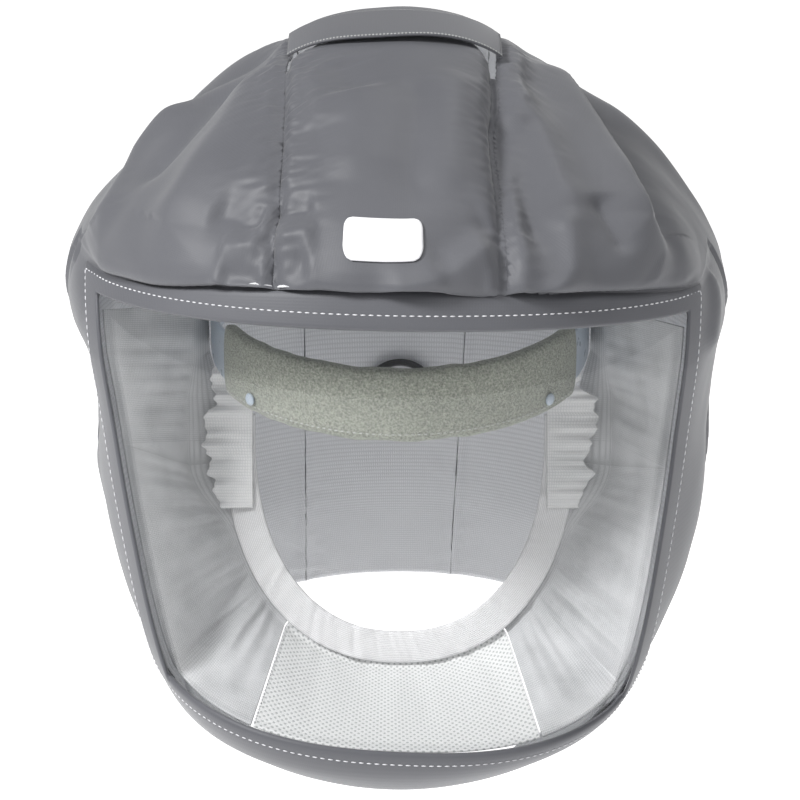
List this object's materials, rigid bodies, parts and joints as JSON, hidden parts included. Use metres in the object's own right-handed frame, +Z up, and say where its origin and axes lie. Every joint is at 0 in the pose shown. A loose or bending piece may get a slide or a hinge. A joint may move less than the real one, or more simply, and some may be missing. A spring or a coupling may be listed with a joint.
{
  "type": "respirator head cover",
  "caption": "Loose cloth head cover with a wide clear visor, a gathered face seal on an elastic, a foam sweatband and a collar at the back for a breathing tube.",
  "frame": {"origin": "centre of the headband, at brow level, where a head sits in the head cover", "axes": "+Z up, -Y out through the visor, +X to the right as seen from in front of the visor"},
  "size_m": [0.2923, 0.2955, 0.2996],
  "materials": {
    "shell_cloth": "matt coated knit",
    "label_white": "smooth woven label",
    "clear_visor": "clear sheet",
    "seal_cloth": "thin woven cloth",
    "white_nonwoven": "soft nonwoven",
    "white_elastic": "ribbed elastic",
    "band_plastic": "translucent, smooth",
    "grey_foam": "fine open foam",
    "inlet_plastic": "matt moulded"
  },
  "bodies": {
    "root": {"visor_surround": "shell_cloth", "side_panel_left": "shell_cloth", "side_panel_right": "shell_cloth", "front_panel": "shell_cloth", "back_panel": "shell_cloth", "top_band": "shell_cloth", "label": "label_white", "visor": "clear_visor", "face_seal_left": "seal_cloth", "chin_panel": "white_nonwoven", "face_seal_right": "seal_cloth", "seal_elastic": "white_elastic", "temple_gusset_left": "white_nonwoven", "temple_gusset_right": "white_nonwoven", "headband": "band_plastic", "sweatband": "grey_foam", "sweatband_stud_left": "band_plastic", "sweatband_stud_right": "band_plastic", "neck_cuff": "white_nonwoven", "air_inlet": "inlet_plastic"}
  },
  "joints": []
}
